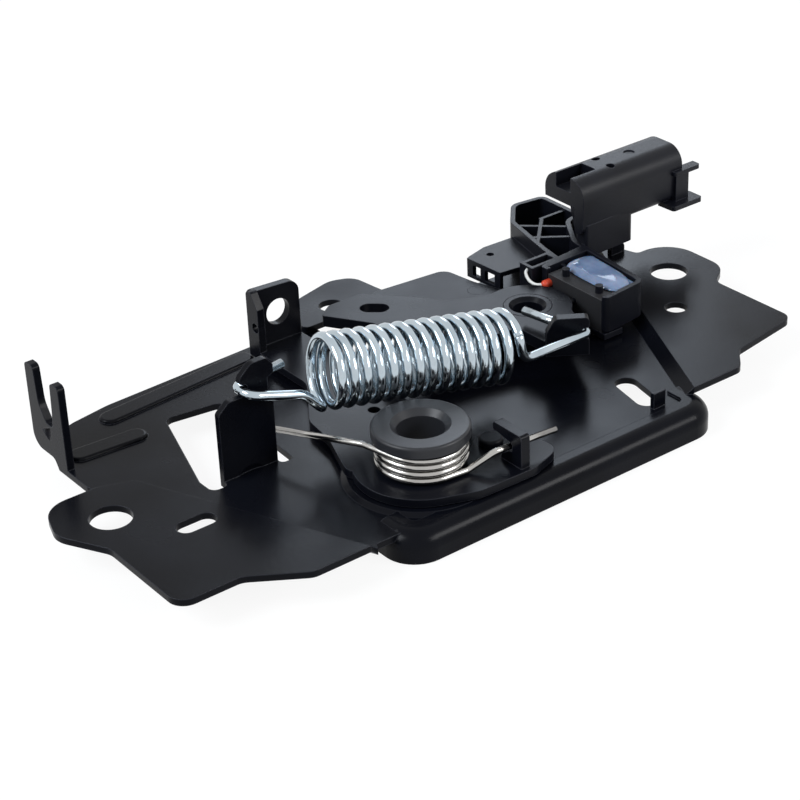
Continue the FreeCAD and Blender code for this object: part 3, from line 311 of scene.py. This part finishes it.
def moulded_plastic(name, dark, light, rough, edge_radius):
    """Fine-grained moulding with a painted highlight that makes its edges paler."""
    mat, nt, bsdf = new_material(name)
    coords = object_coords(nt)
    grain = noise(nt, coords, scale=3200.0, detail=2.0, rough=0.6)
    cloud = noise(nt, coords, scale=60.0, detail=2.0)
    tone = blend_colours(nt, spread(nt, cloud, UPPER_NOISE), dark, light)
    # Painted highlight: a paler tone that the edges are blended towards.
    highlight_tone = tuple(c * EDGE_HIGHLIGHT_PLASTIC_GAIN for c in light)
    highlighted = blend_colours(nt, painted_edge_highlight(nt, radius=0.0004), tone, highlight_tone)
    nt.links.new(highlighted, bsdf.inputs["Base Color"])
    nt.links.new(spread(nt, grain, MOST_NOISE, rough), bsdf.inputs["Roughness"])
    add_bump(nt, bsdf, grain, strength=0.35, distance=0.00008, edge_radius=edge_radius)
    bsdf.inputs["Specular IOR Level"].default_value = 0.2
    return mat


def bright_metal(name, colour, shade, rough):
    """Drawn wire or plated contact: smooth plating, faintly uneven in tone and sheen."""
    mat, nt, bsdf = new_material(name)
    coords = object_coords(nt)
    tarnish = noise(nt, coords, scale=90.0, detail=2.0)
    fine = noise(nt, coords, scale=700.0, detail=1.0)
    tone = blend_colours(nt, spread(nt, tarnish, MOST_NOISE), colour, shade)
    nt.links.new(tone, bsdf.inputs["Base Color"])
    nt.links.new(spread(nt, fine, MOST_NOISE, rough), bsdf.inputs["Roughness"])
    bsdf.inputs["Metallic"].default_value = 1.0
    add_bump(nt, bsdf, fine, strength=0.06, distance=0.00003)
    return mat


def potting_gel(name):
    """Milky blue potting compound with a wet surface."""
    mat, nt, bsdf = new_material(name)
    coords = object_coords(nt)
    cloud = noise(nt, coords, scale=160.0, detail=3.0)
    wave = noise(nt, coords, scale=130.0, detail=1.0)
    tone = blend_colours(nt, spread(nt, cloud, MOST_NOISE), GEL_DEEP, GEL_PALE)
    nt.links.new(tone, bsdf.inputs["Base Color"])
    nt.links.new(spread(nt, cloud, MOST_NOISE, target=(0.06, 0.12)), bsdf.inputs["Roughness"])
    bsdf.inputs["Subsurface Weight"].default_value = 0.4
    bsdf.inputs["Subsurface Scale"].default_value = 0.002
    add_bump(nt, bsdf, wave, strength=0.3, distance=0.0006)
    return mat


def plain_plastic(name, colour, rough):
    mat, _, bsdf = new_material(name)
    bsdf.inputs["Base Color"].default_value = (*colour, 1)
    bsdf.inputs["Roughness"].default_value = rough
    return mat


def dress(material, *names):
    """Gives the objects of these CAD nodes one material."""
    for name in names:
        obj = nodes[name]
        obj.data.materials.clear()
        obj.data.materials.append(material)


# Floor, world and lamps
def seen_directly(nt):
    """1 for camera, glossy and transmission rays, 0 for the light that reaches the object."""
    path = nt.nodes.new("ShaderNodeLightPath")
    seen = path.outputs["Is Camera Ray"]
    for ray in ("Is Glossy Ray", "Is Transmission Ray"):
        seen = combine(nt, "MAXIMUM", seen, path.outputs[ray])
    return seen


def make_floor():
    """Pale paper that shows nearly white and keeps the object's shadow."""
    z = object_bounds()[0][2] - FLOOR_GAP
    r = FLOOR_HALF
    mesh = bpy.data.meshes.new("floor")
    mesh.from_pydata([(-r, -r, z), (r, -r, z), (r, r, z), (-r, r, z)], [], [(0, 1, 2, 3)])
    mat, nt, bsdf = new_material("floor_paper")
    fibre = noise(nt, object_coords(nt), scale=300.0, detail=3.0)
    nt.links.new(blend_colours(nt, fibre, PAPER_DARK, PAPER_LIGHT), bsdf.inputs["Base Color"])
    bsdf.inputs["Roughness"].default_value = 0.9
    bsdf.inputs["Specular IOR Level"].default_value = 0.1
    glow = nt.nodes.new("ShaderNodeEmission")
    glow.inputs["Color"].default_value = (*WHITE, 1)
    glow.inputs["Strength"].default_value = FLOOR_GLOW
    share = spread(nt, seen_directly(nt), FULL, target=(0.0, FLOOR_GLOW_SHARE))
    shown = mix_shaders(nt, share, bsdf.outputs["BSDF"], glow.outputs["Emission"])
    nt.links.new(shown, nt.nodes["Material Output"].inputs["Surface"])
    mesh.materials.append(mat)
    floor = add_object("floor", mesh)


def background(nt, colour, strength):
    node = nt.nodes.new("ShaderNodeBackground")
    node.inputs["Color"].default_value = (*colour, 1)
    node.inputs["Strength"].default_value = strength
    return node.outputs["Background"]


def make_world():
    world = bpy.data.worlds.new("studio")
    bpy.context.scene.world = world
    world.use_nodes = True
    nt = world.node_tree
    nt.nodes.clear()
    out = nt.nodes.new("ShaderNodeOutputWorld")
    soft = background(nt, SKY_TINT, SKY_STRENGTH)
    white = background(nt, WHITE, 1.0)
    nt.links.new(mix_shaders(nt, seen_directly(nt), soft, white), out.inputs["Surface"])


def lamp(name, place, target, size, watts, tint=WHITE):
    data = bpy.data.lights.new(name, "AREA")
    data.shape = "RECTANGLE"
    data.size, data.size_y = size
    data.energy = watts
    data.color = tint
    way = Vector(target) - Vector(place)
    turn = way.to_track_quat("-Z", "Y").to_matrix().to_4x4()
    add_object(name, data).matrix_world = Matrix.Translation(Vector(place)) @ turn


# Round forms, with all routes in millimetres
def smooth_object(name, vertices, faces, material):
    """Smooth-shaded object from vertices in millimetres."""
    mesh = bpy.data.meshes.new(name)
    mesh.from_pydata([tuple(c * MM for c in v) for v in vertices], [], faces)
    mesh.materials.append(material)
    mesh.shade_smooth()
    return add_object(name, mesh)


def new_piece(name, vertices, faces, material):
    """Piece of trim that stays with the base."""
    obj = smooth_object(name, vertices, faces, material)
    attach(obj, BASE_BODY)


def vectors(points):
    return [Vector(p) for p in points]


def coil_places(start, axis, toward, radius, run, turns, sign):
    """Centre line of a coil. It starts on the side that toward names; run gives its way
    along the axis for a number of turns, and sign the hand that it winds in."""
    side = (toward - axis * toward.dot(axis)).normalized()
    across = axis.cross(side)
    places = []
    count = int(turns * STEPS_PER_TURN)
    for k in range(count + 1):
        turn = turns * k / count
        angle = sign * 2 * math.pi * turn
        around = math.cos(angle) * side + math.sin(angle) * across
        places.append(start + axis * run(turn) + radius * around)
    return places


def rounded_route(points, radii):
    """Points of a polyline whose inner corners are arcs with these radii."""
    route = [points[0]]
    for k in range(1, len(points) - 1):
        radius = radii[k - 1]
        before = (points[k - 1] - points[k]).normalized()
        after = (points[k + 1] - points[k]).normalized()
        half = before.angle(after) / 2
        cut = radius / math.tan(half)
        centre = points[k] + (before + after).normalized() * (radius / math.sin(half))
        first = points[k] + before * cut - centre
        last = points[k] + after * cut - centre
        sweep = first.angle(last)
        for j in range(STEPS_PER_BEND + 1):
            share = j / STEPS_PER_BEND
            part = math.sin((1 - share) * sweep) * first + math.sin(share * sweep) * last
            route.append(centre + part / math.sin(sweep))
    route.append(points[-1])
    return route


def swept_wire(route, radii, sides):
    """Closed round wire along a route, with a ring at each point that never twists."""
    side = None
    vertices = []
    for k, place in enumerate(route):
        way = (route[min(k + 1, len(route) - 1)] - route[max(k - 1, 0)]).normalized()
        if side is None:
            side = way.orthogonal()
        side = (side - way * side.dot(way)).normalized()
        lift = way.cross(side)
        for j in range(sides):
            turn = 2 * math.pi * j / sides
            vertices.append(place + radii[k] * (math.cos(turn) * side + math.sin(turn) * lift))
    faces = [tuple(range(sides - 1, -1, -1)), tuple(range(len(vertices) - sides, len(vertices)))]
    for k in range(len(route) - 1):
        low, high = k * sides, (k + 1) * sides
        for j in range(sides):
            after = (j + 1) % sides
            faces.append((low + j, low + after, high + after, high + j))
    return vertices, faces


def tube(name, route, radii, sides, material):
    """Closed tube on the base along a Catmull-Rom curve, with a radius at each point."""
    places, widths = [], []
    for k in range(len(route) - 1):
        before, beyond = route[max(k - 1, 0)], route[min(k + 2, len(route) - 1)]
        here, there = route[k], route[k + 1]
        for j in range(STEPS_PER_SPAN):
            t = j / STEPS_PER_SPAN
            bend = (there - before) * t + (2 * before - 5 * here + 4 * there - beyond) * t * t
            places.append(here + 0.5 * (bend + (3 * here - before - 3 * there + beyond) * t ** 3))
            widths.append(radii[k] + (radii[k + 1] - radii[k]) * t)
    vertices, faces = swept_wire(places + [route[-1]], widths + [radii[-1]], sides)
    new_piece(name, vertices, faces, material)


# Springs, each a round wire in place of its CAD node
def spring_wire(node, route, wire_r, material, fixed, moving, start, end):
    """Wire between the two bodies that its ends hook into, made in place of the spring's CAD
    node, which it hides.
    """
    vertices, faces = swept_wire(route, [wire_r] * len(route), WIRE_SIDES)
    obj = smooth_object(node + "_wire", vertices, faces, material)
    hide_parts(node)
    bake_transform(obj)


def add_main_spring(material):
    start = Vector(MAIN_START)
    axis = (Vector(MAIN_AIM) - start).normalized()

    def run(turn):
        return MAIN_CLOSED_PITCH * min(turn, 1) + MAIN_OPEN_PITCH * max(turn - 1, 0)

    down = Vector((0, 0, -1))
    wound = coil_places(start, axis, down, MAIN_COIL_R, run, MAIN_TURNS, sign=1)
    first_way = (wound[1] - wound[0]).normalized()
    last_way = (wound[-1] - wound[-2]).normalized()
    left = rounded_route(
        [*vectors(MAIN_LEFT_HOOK), wound[0] - first_way * MAIN_LEFT_STRAIGHT, wound[0]],
        MAIN_LEFT_BENDS,
    )
    right = rounded_route(
        [wound[-1], wound[-1] + last_way * MAIN_RIGHT_STRAIGHT, *vectors(MAIN_RIGHT_HOOK)],
        MAIN_RIGHT_BENDS,
    )
    route = left[:-1] + wound + right[1:]
    spring_wire("extension_spring", route, MAIN_WIRE_R, material, "base", "claw", *MAIN_BLEND)


def add_return_spring(material):
    def run(turn):
        return RETURN_PITCH * turn

    start = Vector(RETURN_START)
    up, front = Vector((0, 0, 1)), Vector((0, -1, 0))
    wound = coil_places(start, up, front, RETURN_COIL_R, run, RETURN_TURNS, sign=-1)
    first_way = (wound[1] - wound[0]).normalized()
    right = rounded_route(
        [*vectors(RETURN_RIGHT_LEG), wound[0] - first_way * RETURN_RIGHT_STRAIGHT, wound[0]],
        RETURN_RIGHT_BENDS,
    )
    left = rounded_route([wound[-1], *vectors(RETURN_LEFT_LEG)], RETURN_LEFT_BENDS)
    route = right[:-1] + wound + left[1:]
    spring_wire("torsion_spring", route, RETURN_WIRE_R, material, "base", "lever", *RETURN_BLEND)


# Small trim that the source leaves to the scene
def corner_cut(points, times):
    """Closed outline, rounder with each time that its corners are cut."""
    most, least = 0.75, 0.25
    for _ in range(times):
        rounder = []
        for k, (x0, y0) in enumerate(points):
            x1, y1 = points[(k + 1) % len(points)]
            rounder.append((most * x0 + least * x1, most * y0 + least * y1))
            rounder.append((least * x0 + most * x1, least * y0 + most * y1))
        points = rounder
    return points


def add_gel_dome(material):
    """Crowned top of the potting, lapping over the cell wall beside the switch."""
    outline = corner_cut(GEL_OUTLINE, GEL_CORNER_CUTS)
    count = len(outline)
    mid_x = sum(p[0] for p in outline) / count
    mid_y = sum(p[1] for p in outline) / count
    vertices = [(x, y, GEL_RIM_Z - GEL_SUNK) for x, y in outline]
    for ring in range(GEL_RINGS):
        share = 1.0 - (ring / GEL_RINGS) ** GEL_RING_CROWDING
        z = GEL_RIM_Z + GEL_CROWN * (1.0 - share ** GEL_TOP_FLATNESS) ** GEL_SIDE_STEEPNESS
        for x, y in outline:
            vertices.append((mid_x + (x - mid_x) * share, mid_y + (y - mid_y) * share, z))
    vertices.append((mid_x, mid_y, GEL_RIM_Z + GEL_CROWN))
    faces = [tuple(range(count - 1, -1, -1))]
    for ring in range(GEL_RINGS):
        low, high = ring * count, (ring + 1) * count
        for k in range(count):
            after = (k + 1) % count
            faces.append((low + k, low + after, high + after, high + k))
    last = GEL_RINGS * count
    for k in range(count):
        faces.append((last + k, last + (k + 1) % count, len(vertices) - 1))
    new_piece("gel_dome", vertices, faces, material)


def add_switch_lead(white, orange):
    """Short white link from the wiring frame into the orange seal at the switch's end."""
    tube("switch_lead", vectors(LEAD_ROUTE), LEAD_RADII, LEAD_SIDES, white)
    tube("lead_seal", vectors(SEAL_ROUTE), SEAL_RADII, SEAL_SIDES, orange)


make_camera()
make_floor()
make_world()
lamp(
    "key",
    place=(-0.75, 0.2, 0.75),
    target=(0.11, 0.0, 0.0),
    size=(0.6, 0.5),
    watts=11.0,
    tint=(0.9, 0.95, 1.0),
)
lamp(
    "back",
    place=(0.76, 0.78, 0.52),
    target=(0.2, 0.03, 0.0),
    size=(0.34, 0.42),
    watts=2.1,
    tint=(0.76, 0.86, 1.0),
)
lamp("front", place=(0.55, -0.75, 0.45), target=(0.13, -0.03, 0.0), size=(0.5, 0.3), watts=5.0)

base_black = coated_steel(
    "base_coat",
    dark=(0.0016, 0.0019, 0.0036),
    light=(0.003, 0.0036, 0.0062),
    rough=(0.2, 0.3),
    edge_radius=0.0004,
    gloss=0.08,
)
lever_black = coated_steel(
    "lever_coat",
    dark=(0.0022, 0.0026, 0.0046),
    light=(0.004, 0.0046, 0.0075),
    rough=(0.24, 0.34),
    edge_radius=0.0003,
    gloss=0.1,
)
claw_black = coated_steel(
    "claw_coat",
    dark=(0.0028, 0.0033, 0.0054),
    light=(0.005, 0.0057, 0.0088),
    rough=(0.26, 0.38),
    edge_radius=0.0003,
    gloss=0.08,
)
bush_grey = coated_steel(
    "bush_coat",
    dark=(0.014, 0.015, 0.018),
    light=(0.022, 0.023, 0.027),
    rough=(0.3, 0.42),
    edge_radius=0.0003,
    gloss=0.3,
)
housing_black = moulded_plastic(
    "housing_plastic",
    dark=(0.0022, 0.0027, 0.0052),
    light=(0.0042, 0.0049, 0.0085),
    rough=(0.34, 0.48),
    edge_radius=0.0003,
)
switch_grey = moulded_plastic(
    "switch_plastic",
    dark=(0.016, 0.016, 0.018),
    light=(0.022, 0.022, 0.024),
    rough=(0.44, 0.58),
    edge_radius=0.0002,
)
zinc = bright_metal(
    "zinc_wire",
    colour=(0.52, 0.59, 0.64),
    shade=(0.4, 0.47, 0.52),
    rough=(0.09, 0.16),
)
steel = bright_metal(
    "steel_wire",
    colour=(0.5, 0.49, 0.47),
    shade=(0.36, 0.35, 0.34),
    rough=(0.12, 0.2),
)
tin = bright_metal(
    "tinned_contact",
    colour=(0.75, 0.72, 0.64),
    shade=(0.6, 0.57, 0.5),
    rough=(0.25, 0.35),
)
gel = potting_gel("potting_gel")
lead_white = plain_plastic("lead_white", colour=(0.75, 0.76, 0.74), rough=0.35)
seal_orange = plain_plastic("seal_orange", colour=(0.62, 0.055, 0.02), rough=0.4)

dress(base_black, "base_plate")
dress(lever_black, "release_lever", "lever_rivet")
dress(bush_grey, "pivot_bush")
dress(claw_black, "claw", "claw_rivet", "claw_spacer", "claw_washer")
dress(claw_black, "guide_plate", "guide_rivet", "safety_catch", "catch_pin")
dress(housing_black, "switch_housing", "switch_plunger")
dress(switch_grey, "microswitch")
dress(gel, "sealing_gel")
dress(tin, "terminal_1", "terminal_2")

add_main_spring(zinc)
add_return_spring(steel)
add_gel_dome(gel)
add_switch_lead(lead_white, seal_orange)

bpy.context.scene.view_settings.view_transform = "Standard"
